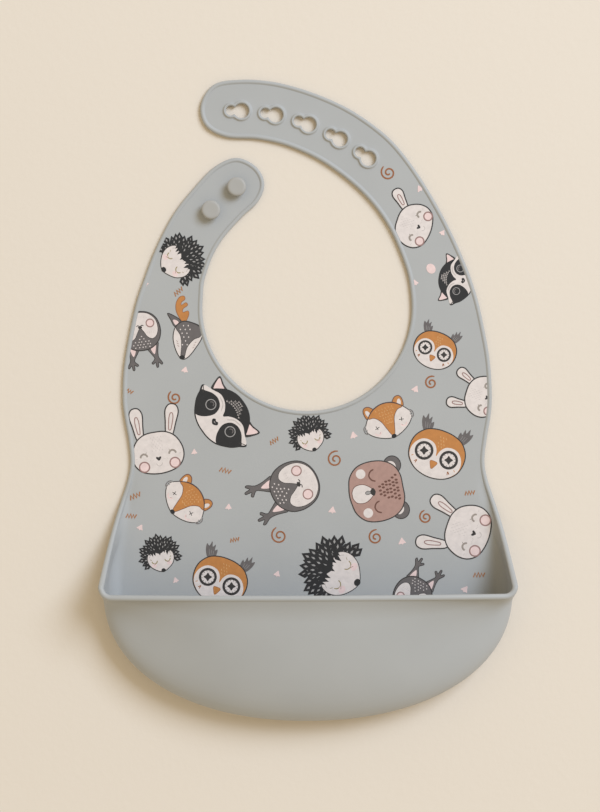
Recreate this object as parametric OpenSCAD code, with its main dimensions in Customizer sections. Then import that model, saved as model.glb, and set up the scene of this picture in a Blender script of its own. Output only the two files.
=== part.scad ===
// Silicone bib with a catch pocket, lying on its back.
// X runs across the chest, Y runs from the pocket to the neck straps and Z out of the printed front.
// The origin is at the middle of the bib's length and width, on the surface that it lies on.

/* [Sheet] */
// Thickness of the silicone sheet
sheet_t = 1.8; // [1.4:0.1:2.2]
// Width of the rounded bead along every edge
bead_w = 2.2; // [1.8:0.1:2.6]
// Full thickness of the bead
bead_h = 2.9; // [2.6:0.1:3.2]

/* [Pocket] */
// Depth of the pocket below its lip
pocket_depth = 63; // [56:0.2:66]
// Half of the width at the pocket's widest contour
pocket_half_w = 102.4; // [102:0.1:103]
// Half of the width at the lip's corners
lip_half = 100.8; // [100:0.1:101.4]
// Height of the front wall at the middle of the lip
lip_mid_z = 36; // [32:1:40]
// Height of the front wall at the lip's corners
lip_side_z = 28; // [25:1:30]
// Height of the pocket's widest contour
belly_z = 11; // [10:0.5:12]
// Radius of the bead along the lip and the raised sides
lip_bead_r = 1.35; // [1.2:0.05:1.5]

/* [Fastening] */
// Distance between neighbouring keyholes and between the two studs
keyhole_pitch = 17.2; // [17:0.1:17.4]
// Radius of a keyhole's wide lobe
wide_r = 3.7; // [3.5:0.1:3.9]
// Radius of a keyhole's narrow lobe
narrow_r = 2.45; // [2.3:0.05:2.6]
// Distance between the centres of a keyhole's lobes
lobe_gap = 5.4; // [5.2:0.1:5.6]
// Width of the raised collar round a keyhole
collar_w = 1.3; // [1:0.1:1.4]
// Full thickness of a keyhole's collar
collar_h = 3.0; // [2.8:0.1:3.2]
// Radius of a stud's head
stud_head_r = 4.7; // [4.4:0.1:5]
// Radius of a stud's neck
stud_neck_r = 2.15; // [2:0.05:2.2]

/* [Hidden] */
$fn = 48;

GREY = [0.63, 0.65, 0.64];
LIGHT_GREY = [0.70, 0.72, 0.71];
spline_steps = 4;
tube_sides = 8;
lip_reach = lip_half - 3.5;
tube_flat = lip_bead_r * cos(180 / tube_sides);

// The waist, where the raised sides begin, and the line of the pocket's mouth
waist_y = -31;
waist_half = 88.3;
rise_y = -30;
lip_y = -95.9;
seam = 0.3;

// The neck opening's round lower half
neck_r = 52.3;
neck_y = 46.5;

// Flex lines: a point on the line, and the way from the parent to the child
waist_flex = [[0, -26], [0, 1]];
stud_root_flex = [[-71, 38], [0, 1]];
stud_tip_flex = [[-57.5, 82], [0.5, 0.866]];
hole_root_flex = [[71, 38], [0, 1]];
hole_mid_flex = [[53.5, 90], [-0.5, 0.866]];
flex_r = sheet_t / 2;
flex_back = 1.15;
bead_back = 2.2;

// Keyholes lie on one arc along the middle of the hole strap
keyhole_centre = [-37.6, 35.2];
keyhole_arc_r = 109;
keyhole_first = 88.64;
keyhole_step = keyhole_pitch / keyhole_arc_r * 180 / PI;
tip_flex_angle = keyhole_first - 2.53 * keyhole_step;
hole_tip_flex = [
    keyhole_centre + keyhole_arc_r * [cos(tip_flex_angle), sin(tip_flex_angle)],
    [-sin(tip_flex_angle), cos(tip_flex_angle)]
];

// Studs lie in line along the stud strap
stud_middle = [-41.1, 100.1];
stud_line = 41.8;
stud_flange_r = 4.2;
stud_flange_t = 0.8;
stud_head_t = 2.2;
stud_fit = 0.05;

// The outer edge from the right side of the waist, over the hole strap's tip, to the neck opening
edge_right = [
    [waist_half, waist_y], [89.6, -20], [91.6, -8], [92.2, 2], [91.2, 19], [88.3, 36], [84.6, 52],
    [78.6, 69], [69, 89.7], [57.4, 109.8], [46, 125.4], [35.2, 135.6], [20, 145.7], [2.2, 153.5],
    [-16, 158.5], [-33, 159.7], [-46.3, 157.2], [-52.8, 147], [-50.3, 136.6],
    [-40, 131], [-24, 129.9], [-8, 126], [10, 117.2], [28, 102.8], [40.5, 86.6], [49, 67]
];
// From the neck opening, round the stud strap's tip, to the left side of the waist
edge_left = [
    [-51, 60], [-47, 71.5], [-41.3, 81], [-32.5, 90.8], [-24, 99], [-21, 108],
    [-25.2, 116.3], [-35, 120.7], [-46, 116.2], [-56.5, 105.5], [-66.3, 93], [-74.5, 77.5],
    [-80.5, 62.5], [-86.2, 45], [-91.2, 19], [-92.2, 2], [-91.6, -8], [-89.6, -20], [-waist_half, waist_y]
];
neck_arc = [for (a = [8:-14:-188]) [neck_r * cos(a), neck_y + neck_r * sin(a)]];

// The pocket's outline below its mouth, as shares of its half width and its depth
pocket_power = 2.15;
inset_side = 15;
inset_waist = 6;

function smooth(t) = t * t * (3 - 2 * t);
function unit(v) = v / norm(v);
function mix(a, b, t) = a + (b - a) * t;
function catmull(a, b, c, d, t) =
    0.5 * (2 * b + (c - a) * t + (2 * a - 5 * b + 4 * c - d) * t * t + (3 * b - a - 3 * c + d) * t * t * t);
function spline(p, n) = [
    for (i = [1:len(p) - 3]) for (k = [0:n - 1]) catmull(p[i - 1], p[i], p[i + 1], p[i + 2], k / n),
    p[len(p) - 2]
];

// How far a raised side has come from the waist to the pocket's mouth, at a given y
function side_share(y) = max(0, (rise_y - y) / (rise_y - lip_y));
function side_half(y) =
    mix(waist_half, pocket_half_w, smooth(pow(max(0, (waist_y - y) / (waist_y - lip_y)), 0.8)));
function side_height(y) = pow(side_share(y), 2.6);
function side_inset(y) = mix(inset_waist, inset_side, side_share(y));

edge_points = concat(
    [[side_half(-52), -52], [side_half(-40), -40]],
    edge_right, neck_arc, edge_left,
    [[-side_half(-40), -40], [-side_half(-52), -52]]
);
outline = spline(edge_points, spline_steps);

// The pocket's widest contour, for an angle of -90 at its left corner to 90 at its right one
function belly_plan(a) =
    let (s = pow(abs(sin(a)), 2 / pocket_power), c = pow(max(0, cos(a)), 2 / pocket_power))
    [sign(a) * pocket_half_w * s, lip_y - pocket_depth * c];
function lip_plan(a) = [belly_plan(a)[0] * lip_half / pocket_half_w, lip_y];
function lip_height(x) = mix(lip_mid_z, lip_side_z, pow(abs(x) / lip_half, 2));
function inward(a) = abs(a) > 88 ? [-sign(a), 0] : unit([
    -sign(a) * pow(abs(sin(a)), 2 - 2 / pocket_power) / pocket_half_w,
    pow(cos(a), 2 - 2 / pocket_power) / pocket_depth
]);

// Sections through the shell, as [distance in from the widest contour, height]
function belly(c, z) = [for (b = [0:15:90]) [c * (1 - sin(b)), z * (1 - cos(b))]];
function wall(d, z0, z1) = [for (b = [0:11.25:90]) [d * (1 - cos(b)), mix(z0, z1, sin(b))]];
function way(s, i, first, last) =
    i == 0 ? first : i == len(s) - 1 ? last : unit(s[i + 1] - s[i - 1]);
function thickened(s, first, last) = concat(s, [
    for (i = [len(s) - 1:-1:0]) let (t = way(s, i, first, last)) s[i] + sheet_t * [t[1], -t[0]]
]);
function placed(section, p, m) = [for (q = section) [p[0] + m[0] * q[0], p[1] + m[1] * q[0], q[1]]];

// A solid from a row of closed sections with equal numbers of points
module loft(sections) {
    n = len(sections);
    m = len(sections[0]);
    points = [for (s = sections) for (p = s) p];
    sides = [
        for (i = [0:n - 2]) for (j = [0:m - 1])
        let (a = i * m + j, b = i * m + (j + 1) % m)
        each [[a, b, b + m], [a, b + m, a + m]]
    ];
    low = [for (k = [0:m / 2 - 2]) each [[k, m - 1 - k, m - 2 - k], [k, m - 2 - k, k + 1]]];
    top = (n - 1) * m;
    high = [for (f = low) [top + f[0], top + f[2], top + f[1]]];
    polyhedron(points, concat(sides, low, high));
}

// A round bead along a path, with every ring square to it
module bead_tube(path) {
    rings = [
        for (i = [0:len(path) - 1])
        let (t = unit(path[min(len(path) - 1, i + 1)] - path[max(0, i - 1)]))
        let (side = unit(cross(t, [0, 0, 1])), up = cross(side, t))
        [
            for (k = [0:tube_sides - 1])
            let (a = 360 * (k + 0.5) / tube_sides)
            path[i] + lip_bead_r * (cos(a) * side + sin(a) * up)
        ]
    ];
    n = len(rings);
    points = [for (ring = rings) for (p = ring) p];
    sides = [
        for (i = [0:n - 2]) for (j = [0:tube_sides - 1])
        let (a = i * tube_sides + j, b = i * tube_sides + (j + 1) % tube_sides)
        each [[a, b, b + tube_sides], [a, b + tube_sides, a + tube_sides]]
    ];
    last = (n - 1) * tube_sides;
    ends = [
        for (k = [1:tube_sides - 2]) each [[0, k + 1, k], [last, last + k, last + k + 1]]
    ];
    polyhedron(points, concat(sides, ends));
}

// Everything on the child's side of a flex line, from a distance s along the child's way
module beyond(flex, s) {
    d = flex[1];
    translate(flex[0] + d * s) rotate(atan2(d[1], d[0])) translate([0, -200]) square([400, 400]);
}
// Everything on the parent's side of a flex line, back from a distance s
module before(flex, s) {
    d = flex[1];
    translate(flex[0] + d * s) rotate(atan2(d[1], d[0])) translate([-400, -200]) square([400, 400]);
}
// The rounded start of a child's sheet, centred on the flex line
module flex_edge(flex, low, high) {
    d = flex[1];
    translate([flex[0][0], flex[0][1], flex_r]) rotate(atan2(d[1], d[0]) - 90)
        translate([low, 0, 0]) rotate([0, 90, 0]) cylinder(r = flex_r, h = high - low, $fn = 16);
}

module sheet_plan() {
    offset(delta = -bead_w) polygon(outline);
}
module bead_plan() {
    difference() {
        polygon(outline);
        sheet_plan();
    }
}
module sheet_solid() {
    linear_extrude(sheet_t) children();
}
module bead_solid() {
    linear_extrude(bead_h) children();
}

// Plan regions of the chest and of the two straps
module chest_region(s) {
    intersection() {
        beyond(waist_flex, s);
        before(stud_root_flex, -s - (s == 0 ? flex_back : 0));
    }
}
module stud_side() {
    translate([-120, 0]) square([105, 126]);
}
module hole_side() {
    difference() {
        translate([-120, 0]) square([240, 200]);
        translate([-120, 0]) square([120, 126]);
    }
}
module stud_root_region(s) {
    intersection() {
        stud_side();
        beyond(stud_root_flex, s);
        before(stud_tip_flex, -s - (s == 0 ? flex_back : 0));
    }
}
module stud_tip_region(s) {
    intersection() {
        stud_side();
        beyond(stud_tip_flex, s);
    }
}
module hole_root_region(s) {
    intersection() {
        hole_side();
        beyond(hole_root_flex, s);
        before(hole_mid_flex, -s - (s == 0 ? flex_back : 0));
    }
}
module hole_mid_region(s) {
    intersection() {
        hole_side();
        beyond(hole_mid_flex, s);
        before(hole_tip_flex, -s - (s == 0 ? flex_back : 0));
    }
}
module hole_tip_region(s) {
    intersection() {
        hole_side();
        beyond(hole_tip_flex, s);
    }
}
// The outer side of each strap, used to part its outer bead from its inner one
module stud_outer() {
    polygon([[-200, 0], [-81, 0], [-48, 112], [-200, 112]]);
}
module hole_outer() {
    polygon([[83.8, 0], [53.5, 90], [7.3, 137], [-38.7, 183.8], [200, 200], [200, 0]]);
}

// Keyholes
function keyhole_angle(i) = keyhole_first - keyhole_step * i;
module at_keyhole(i) {
    a = keyhole_angle(i);
    translate(keyhole_centre + keyhole_arc_r * [cos(a), sin(a)]) rotate(a - 90) children();
}
module keyhole_shape(grow, h) {
    translate([lobe_gap / 2, 0, 0]) cylinder(r = wide_r + grow, h = h);
    translate([-lobe_gap / 2, 0, 0]) cylinder(r = narrow_r + grow, h = h);
}
module keyhole_seats(first, last) {
    for (i = [first:last]) translate([0, 0, -1]) at_keyhole(i) keyhole_shape(collar_w, sheet_t + 2);
}
module keyhole_collar(i) {
    color(LIGHT_GREY) at_keyhole(i) difference() {
        keyhole_shape(collar_w, collar_h);
        translate([0, 0, -1]) keyhole_shape(0, collar_h + 2);
    }
}
module keyhole_collar_1() {
    keyhole_collar(0);
}
module keyhole_collar_2() {
    keyhole_collar(1);
}
module keyhole_collar_3() {
    keyhole_collar(2);
}
module keyhole_collar_4() {
    keyhole_collar(3);
}
module keyhole_collar_5() {
    keyhole_collar(4);
}

// Studs
module at_stud(k) {
    translate(stud_middle + k * keyhole_pitch / 2 * [cos(stud_line), sin(stud_line)]) children();
}
module stud_seats() {
    for (k = [-1, 1]) at_stud(k) translate([0, 0, -1]) {
        cylinder(r = stud_neck_r + stud_fit, h = sheet_t + 2);
        cylinder(r = stud_flange_r + stud_fit, h = 1 + stud_flange_t + stud_fit);
    }
}
module stud(k) {
    head_z = sheet_t + collar_h;
    color(LIGHT_GREY) at_stud(k) {
        cylinder(r = stud_flange_r, h = stud_flange_t);
        cylinder(r = stud_neck_r, h = head_z + 0.5);
        translate([0, 0, head_z]) rotate_extrude() polygon([
            [0, 0], [stud_head_r - 0.4, 0], [stud_head_r, 0.4], [stud_head_r, stud_head_t - 0.7],
            [stud_head_r - 0.25, stud_head_t - 0.25], [stud_head_r - 0.8, stud_head_t], [0, stud_head_t]
        ]);
    }
}
module upper_stud() {
    stud(1);
}
module lower_stud() {
    stud(-1);
}

// Flat panel behind the pocket and up to the waist
side_stations = [for (k = [0:13]) mix(rise_y, lip_y + seam, k / 13)];
pocket_stations = [for (k = [-24:24]) k * 3.75];
function foot(a) = belly_plan(a) + inward(a) * inset_side;
module lower_panel() {
    top_y = waist_flex[0][1] - flex_back;
    right = concat(
        [[waist_half - bead_w, top_y], [waist_half - bead_w, waist_y]],
        [for (y = side_stations) [side_half(y) - side_inset(y), y]]
    );
    color(GREY) sheet_solid() polygon(concat(
        right,
        [for (i = [len(pocket_stations) - 2:-1:1]) foot(pocket_stations[i])],
        [for (i = [len(right) - 1:-1:0]) [-right[i][0], right[i][1]]]
    ));
}

// Rounded trough from the flat panel out to the pocket's widest contour
module pocket_floor() {
    section = thickened(belly(inset_side, belly_z), [-1, 0], [0, 1]);
    color(GREY) loft([for (a = pocket_stations) placed(section, belly_plan(a), inward(a))]);
}

// Raised side between the waist and the pocket's mouth
module raised_side() {
    color(GREY) loft([
        for (y = side_stations)
        let (g = max(0.01, side_height(y)), c = side_inset(y), d = (pocket_half_w - lip_half) * g)
        let (low = belly(c, g * belly_z), high = wall(d, g * belly_z, g * lip_side_z))
        let (section = concat(low, [for (i = [1:len(high) - 3]) high[i]]))
        placed(thickened(section, [-1, 0], [0, 1]), [side_half(y), y], [-1, 0])
    ]);
}
module pocket_side_right() {
    raised_side();
}
module pocket_side_left() {
    mirror([1, 0, 0]) raised_side();
}
module side_rim_right() {
    color(LIGHT_GREY) bead_tube([
        for (y = side_stations)
        let (g = side_height(y), b = 67.5)
        [
            side_half(y) - (pocket_half_w - lip_half) * g * (1 - cos(b)) - sheet_t / 2,
            y,
            mix(g * belly_z, g * lip_side_z, sin(b)) + tube_flat
        ]
    ]);
}
module side_rim_left() {
    mirror([1, 0, 0]) side_rim_right();
}

// Domed front wall of the pocket
module pocket_front() {
    color(GREY) loft([
        for (a = pocket_stations)
        let (p = belly_plan(a), q = lip_plan(a) - [0, tube_flat], d = norm(q - p))
        let (section = wall(d, belly_z + seam, lip_height(q[0])))
        placed(thickened(section, [0, 1], [1, 0]), p, unit(q - p))
    ]);
}
module pocket_lip() {
    color(LIGHT_GREY) bead_tube([
        for (x = [-lip_reach:lip_reach / 24:lip_reach + 0.1]) [x, lip_y, lip_height(x) - sheet_t / 2]
    ]);
}

// Chest
module chest_panel() {
    color(GREY) {
        sheet_solid() intersection() {
            sheet_plan();
            chest_region(0);
        }
        flex_edge(waist_flex, -waist_half + bead_w + 1, waist_half - bead_w - 1);
    }
}
module chest_bead() {
    bead_solid() intersection() {
        bead_plan();
        chest_region(bead_back);
        children();
    }
}
module chest_rim_left() {
    color(LIGHT_GREY) chest_bead() translate([-120, -60]) square([50, 120]);
}
module chest_rim_right() {
    color(LIGHT_GREY) chest_bead() translate([70, -60]) square([50, 120]);
}
module neck_rim() {
    color(LIGHT_GREY) chest_bead() translate([-60, -60]) square([120, 120]);
}

// Stud strap
module stud_strap_root() {
    color(GREY) {
        sheet_solid() intersection() {
            sheet_plan();
            stud_root_region(0);
        }
        flex_edge(stud_root_flex, -14, 15.5);
    }
}
module stud_root_rim_outer() {
    color(LIGHT_GREY) bead_solid() intersection() {
        bead_plan();
        stud_root_region(bead_back);
        stud_outer();
    }
}
module stud_root_rim_inner() {
    color(LIGHT_GREY) bead_solid() difference() {
        intersection() {
            bead_plan();
            stud_root_region(bead_back);
        }
        stud_outer();
    }
}
module stud_strap_tip() {
    color(GREY) difference() {
        union() {
            sheet_solid() intersection() {
                sheet_plan();
                stud_tip_region(0);
            }
            flex_edge(stud_tip_flex, -13, 13);
        }
        stud_seats();
    }
}
module stud_tip_rim() {
    color(LIGHT_GREY) bead_solid() intersection() {
        bead_plan();
        stud_tip_region(bead_back);
    }
}

// Hole strap
module hole_strap_root() {
    color(GREY) {
        sheet_solid() intersection() {
            sheet_plan();
            hole_root_region(0);
        }
        flex_edge(hole_root_flex, -15.5, 14);
    }
}
module hole_root_rim_outer() {
    color(LIGHT_GREY) bead_solid() intersection() {
        bead_plan();
        hole_root_region(bead_back);
        hole_outer();
    }
}
module hole_root_rim_inner() {
    color(LIGHT_GREY) bead_solid() difference() {
        intersection() {
            bead_plan();
            hole_root_region(bead_back);
        }
        hole_outer();
    }
}
module hole_strap_mid() {
    color(GREY) difference() {
        union() {
            sheet_solid() intersection() {
                sheet_plan();
                hole_mid_region(0);
            }
            flex_edge(hole_mid_flex, -13, 13);
        }
        keyhole_seats(3, 4);
    }
}
module hole_mid_rim_outer() {
    color(LIGHT_GREY) bead_solid() intersection() {
        bead_plan();
        hole_mid_region(bead_back);
        hole_outer();
    }
}
module hole_mid_rim_inner() {
    color(LIGHT_GREY) bead_solid() difference() {
        intersection() {
            bead_plan();
            hole_mid_region(bead_back);
        }
        hole_outer();
    }
}
module hole_strap_tip() {
    color(GREY) difference() {
        union() {
            sheet_solid() intersection() {
                sheet_plan();
                hole_tip_region(0);
            }
            flex_edge(hole_tip_flex, -10, 10);
        }
        keyhole_seats(0, 2);
    }
}
module hole_tip_rim() {
    color(LIGHT_GREY) bead_solid() intersection() {
        bead_plan();
        hole_tip_region(bead_back);
    }
}

lower_panel();
pocket_floor();
pocket_side_left();
pocket_side_right();
side_rim_left();
side_rim_right();
pocket_front();
pocket_lip();
chest_panel();
chest_rim_left();
chest_rim_right();
neck_rim();
stud_strap_root();
stud_root_rim_outer();
stud_root_rim_inner();
stud_strap_tip();
stud_tip_rim();
upper_stud();
lower_stud();
hole_strap_root();
hole_root_rim_outer();
hole_root_rim_inner();
hole_strap_mid();
hole_mid_rim_outer();
hole_mid_rim_inner();
hole_strap_tip();
hole_tip_rim();
keyhole_collar_1();
keyhole_collar_2();
keyhole_collar_3();
keyhole_collar_4();
keyhole_collar_5();
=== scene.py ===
"""Looks of the silicone bib: a smooth moulded skin cut at its flex lines, its studs and its prints.

Lengths are in millimetres until a mesh is made."""

import math

import bmesh
import bpy
import numpy as np
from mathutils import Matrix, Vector
from mathutils.bvhtree import BVHTree
from mathutils.geometry import delaunay_2d_cdt


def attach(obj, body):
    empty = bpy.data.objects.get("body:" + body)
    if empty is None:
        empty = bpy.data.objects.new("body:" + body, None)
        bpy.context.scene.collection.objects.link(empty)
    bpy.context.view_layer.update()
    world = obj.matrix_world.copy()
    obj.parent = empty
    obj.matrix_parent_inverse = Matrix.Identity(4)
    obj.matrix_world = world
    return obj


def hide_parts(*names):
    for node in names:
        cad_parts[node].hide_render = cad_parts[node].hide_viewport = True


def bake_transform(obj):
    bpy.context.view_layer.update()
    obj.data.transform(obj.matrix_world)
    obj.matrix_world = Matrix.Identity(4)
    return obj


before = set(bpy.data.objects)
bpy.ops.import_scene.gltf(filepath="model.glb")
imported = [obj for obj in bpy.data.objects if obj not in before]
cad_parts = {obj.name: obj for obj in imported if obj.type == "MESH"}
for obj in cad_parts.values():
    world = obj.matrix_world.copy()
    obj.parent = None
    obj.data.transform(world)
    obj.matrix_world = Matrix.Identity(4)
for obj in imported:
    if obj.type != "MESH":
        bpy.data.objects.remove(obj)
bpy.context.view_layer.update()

MM = 0.001
SHEET = 1.8
RIM_BEAD = 1.15
LIP_BEAD = 1.4
LIP_Y = -95.9
LIP_HALF = 101.8
POCKET_HALF = 100.8
POCKET_DEPTH = 63.0
BELLY_Z = 11.0
LIP_MID_Z = 36.0
LIP_SIDE_Z = 28.0
CORNER_R = 5.0
BELLY_POWER = 2 / 2.15
WAIST_Y = -31.0
NECK_R = 52.3
NECK_Y = 46.5
STATION_STEP = 1.5
FILL_STEP = 2.1
KEYHOLE_PITCH = 17.2
FLAT_BAND = 0.8
# How far the wall turns from flat outwards (0), to upright (90), to flat inwards (180)
SIDE_TURN, LIP_MID_TURN, LIP_END_TURN = 92, 172, 98
# How far the middle of the bead stands off the middle of the wall
RIM_PROUD, CORNER_PROUD = 0.35, 0.3
# How far the sheet runs into its bead, and how far short of the sheet the bead's arc stops, in radians
BEAD_LAP, ARC_LAP = 0.03, 0.12
# From the widest contour in to the foot of the wall
RIM_INSET, SIDE_INSET, LIP_INSET = 4.6, 8.0, 15.0
# The raised side climbs a little at once, and the rest late
EARLY_RISE, LATE_POWER = 0.12, 3.4
# Handle of a curve that makes a quarter of a circle
QUARTER_HANDLE = 0.5523
UP = np.array([0.0, 0.0, 1.0])


# ---- plan curves ----


def catmull(points, steps):
    """A smooth curve through the points, with its two end points only steering it."""
    p = np.array(points, float)
    out = []
    for i in range(1, len(p) - 2):
        a, b, c, d = p[i - 1 : i + 3]
        for t in np.arange(steps) / steps:
            square = 2 * b + (c - a) * t + (2 * a - 5 * b + 4 * c - d) * t**2
            out.append(0.5 * (square + (3 * b - a - 3 * c + d) * t**3))
    out.append(p[-2])
    return np.array(out)


def resample(p, step=None, count=None):
    """Evenly spaced points along an open curve."""
    seg = np.linalg.norm(np.diff(p, axis=0), axis=1)
    s = np.concatenate([[0], np.cumsum(seg)])
    n = count or int(round(s[-1] / step))
    q = np.linspace(0, s[-1], n + 1)
    return np.stack([np.interp(q, s, p[:, k]) for k in range(p.shape[1])], 1)


def smooth(t):
    t = np.clip(t, 0, 1)
    return t * t * (3 - 2 * t)


def mix(a, b, t):
    return a + (b - a) * t


def unit(v):
    return v / np.linalg.norm(v, axis=-1, keepdims=True)


def heading(degrees):
    """Unit vector in plan, turned anticlockwise from +X."""
    a = math.radians(degrees)
    return np.array([math.cos(a), math.sin(a)])


def lifted(plan, z=0.0):
    """Plan points or directions with a third coordinate."""
    return np.concatenate([plan, np.full((len(plan), 1), z)], 1)


SIDE = [(101.8, -90.9), (100.3, -80), (98.4, -70), (96, -60), (93, -50), (89.8, -40), (88.4, -31)]
RIGHT = [
    (89.6, -20), (91.6, -8), (92.2, 2), (91.2, 19), (88.3, 36), (84.6, 52),
    (78.6, 69), (69, 89.7), (57.4, 109.8), (46, 125.4), (35.2, 135.6), (20, 145.7), (2.2, 153.5),
    (-16, 158.5), (-33, 159.7), (-46.3, 157.2), (-52.8, 147), (-50.3, 136.6),
    (-40, 131), (-24, 129.9), (-8, 126), (10, 117.2), (28, 102.8), (40.5, 86.6), (49, 67),
]
LEFT = [
    (-51, 60), (-47, 71.5), (-41.3, 81), (-32.5, 90.8), (-24, 99), (-21, 108),
    (-25.2, 116.3), (-35, 120.7), (-46, 116.2), (-56.5, 105.5), (-66.3, 93), (-74.5, 77.5),
    (-80.5, 62.5), (-86.2, 45), (-91.2, 19), (-92.2, 2), (-91.4, -8), (-89.3, -20),
]
neck = [tuple(NECK_R * heading(a) + (0, NECK_Y)) for a in range(8, -189, -14)]
mirror_side = [(-x, y) for x, y in reversed(SIDE)]
control = [(LIP_HALF, -96)] + SIDE + RIGHT + neck + LEFT + mirror_side + [(-LIP_HALF, -96)]
edge = resample(catmull(control, 10), step=STATION_STEP)[::-1]

# The edge runs clockwise: up the left side, round both straps and down the right side.
# The rest of the loop follows the lip from its right corner to its left one.


def normals_right(p, closed=False):
    """Unit normals to the right of a path's direction of travel."""
    if closed:
        t = np.roll(p, -1, 0) - np.roll(p, 1, 0)
    else:
        t = np.gradient(p, axis=0)
    t = unit(t)
    return np.stack([t[:, 1], -t[:, 0]], 1)


edge_share = np.clip((WAIST_Y - edge[:, 1]) / (WAIST_Y - (LIP_Y + CORNER_R)), 0, 1)
rim = edge + normals_right(edge) * mix(RIM_BEAD, LIP_BEAD, edge_share)[:, None]
rim[0] = (-(LIP_HALF - LIP_BEAD), edge[0][1])
rim[-1] = (LIP_HALF - LIP_BEAD, edge[-1][1])

corner_middle = (LIP_HALF - LIP_BEAD - CORNER_R, LIP_Y + CORNER_R)
corner = [tuple(CORNER_R * heading(a) + corner_middle) for a in np.linspace(0, -90, 13)]
lip_half_path = np.array(corner + [(x, LIP_Y) for x in np.linspace(corner[-1][0], 0, 60)[1:]])
belly_half = np.array(
    [(POCKET_HALF, y) for y in np.linspace(LIP_Y + CORNER_R, LIP_Y, 6)[:-1]]
    + [
        (POCKET_HALF * s**BELLY_POWER, LIP_Y - POCKET_DEPTH * max(0.0, c) ** BELLY_POWER)
        for c, s in map(heading, np.linspace(90, 0, 200))
    ]
)


def full_width(half, count=76):
    """A path from its right half, which ends in the middle; every such path has as many points."""
    half = resample(half, count=count)
    return np.concatenate([half, half[::-1][1:] * [-1, 1]])


lip_path, belly_path = full_width(lip_half_path), full_width(belly_half)

# One closed loop of stations: the edge, then the lip without its two shared ends
rim_loop = np.concatenate([rim, lip_path[1:-1]])
inward = normals_right(rim_loop, closed=True)
n_all = len(rim_loop)
is_lip = np.arange(n_all) >= len(rim)
is_side = (~is_lip) & (rim_loop[:, 1] < WAIST_Y) & (np.abs(rim_loop[:, 0]) > 70)

share = np.where(is_side, (WAIST_Y - rim_loop[:, 1]) / (WAIST_Y - (LIP_Y + CORNER_R)), 0)
share = np.clip(share, 0, 1)
share[is_lip] = 1
bead = mix(RIM_BEAD, LIP_BEAD, share)
rise = EARLY_RISE * smooth(share) + (1 - EARLY_RISE) * share**LATE_POWER
x_share = np.clip(np.abs(rim_loop[:, 0]) / LIP_HALF, 0, 1)
end_z = np.where(is_lip, mix(LIP_MID_Z, LIP_SIDE_Z, x_share**2), LIP_SIDE_Z * rise)

lip_turn = mix(LIP_MID_TURN, LIP_END_TURN, x_share**3)
turn = np.radians(np.where(is_lip, lip_turn, SIDE_TURN * smooth(share / 0.95)))
# The lip's bead stands off to the outside of its wall, except at the pocket's corners
lip_proud = mix(-RIM_PROUD, CORNER_PROUD, smooth((x_share - 0.9) / 0.1))
proud = np.where(is_lip, lip_proud, RIM_PROUD)
proud = np.where(is_side, mix(RIM_PROUD, CORNER_PROUD, share), proud)

inward3 = lifted(inward)
end_way = -inward3 * np.cos(turn)[:, None] + UP * np.sin(turn)[:, None]
end_face = inward3 * np.sin(turn)[:, None] + UP * np.cos(turn)[:, None]
# The wall ends just inside the bead, with the middle of its end at end_z or at the flat sheet's middle
bead_shift = end_way * (bead - BEAD_LAP)[:, None] + end_face * proud[:, None]
mid = lifted(rim_loop) - bead_shift
mid[:, 2] = np.maximum(end_z, SHEET / 2)
bead_c = mid + bead_shift
wall_out = mid - end_face * (SHEET / 2)
wall_out[:, 2] = np.maximum(wall_out[:, 2], 0)

# The widest contour, the way in from it, and the foot where the panel turns flat
widest = rim_loop - inward * (bead + (POCKET_HALF - LIP_HALF) * share)[:, None]
widest[is_lip] = belly_path[1:-1]
foot_way = inward.copy()
foot_way[is_lip] = normals_right(widest, closed=True)[is_lip]
upper_part = (share > 0.85)[:, None]
for _ in range(12):
    beside = np.roll(foot_way, 1, 0) + np.roll(foot_way, -1, 0)
    foot_way = unit(foot_way + 0.5 * beside * upper_part)
lip_inset = mix(LIP_INSET, SIDE_INSET, smooth((x_share - 0.55) / 0.45))
inset = np.where(is_lip, lip_inset, mix(RIM_INSET, SIDE_INSET, smooth(share / 0.4)))
upright = smooth((share - 0.4) / 0.6)[:, None, None]
belly_z = BELLY_Z * np.where(is_lip, 1, rise)

foot_way3 = lifted(foot_way)
foot = lifted(widest) + foot_way3 * inset[:, None]
belly = lifted(widest) + UP * belly_z[:, None]
climb = np.tile(UP, (n_all, 1))


def handle(a, b, direction):
    """Length of a curve's handle that makes a quarter ellipse of a right-angled turn."""
    d = b - a
    flat = np.linalg.norm(direction[:, :2], axis=1) * np.linalg.norm(d[:, :2], axis=1)
    return QUARTER_HANDLE * (flat + np.abs(direction[:, 2] * d[:, 2]))


def bezier(a, ta, b, tb, count, pull=None):
    """Points from a to b, leaving along ta and arriving along tb, one row a station."""
    reach = np.linalg.norm(b - a, axis=1)
    c1 = a + ta * (pull * reach if pull else handle(a, b, ta))[:, None]
    c2 = b - tb * (pull * reach if pull else handle(a, b, tb))[:, None]
    t = np.linspace(0, 1, count + 1)[None, :, None]
    a, b, c1, c2 = (v[:, None, :] for v in (a, b, c1, c2))
    return a * (1 - t) ** 3 + 3 * c1 * t * (1 - t) ** 2 + 3 * c2 * t * t * (1 - t) + b * t**3


# Steps below the widest contour, above it, and round the bead
LOW, HIGH, ARC = 6, 10, 12
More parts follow.
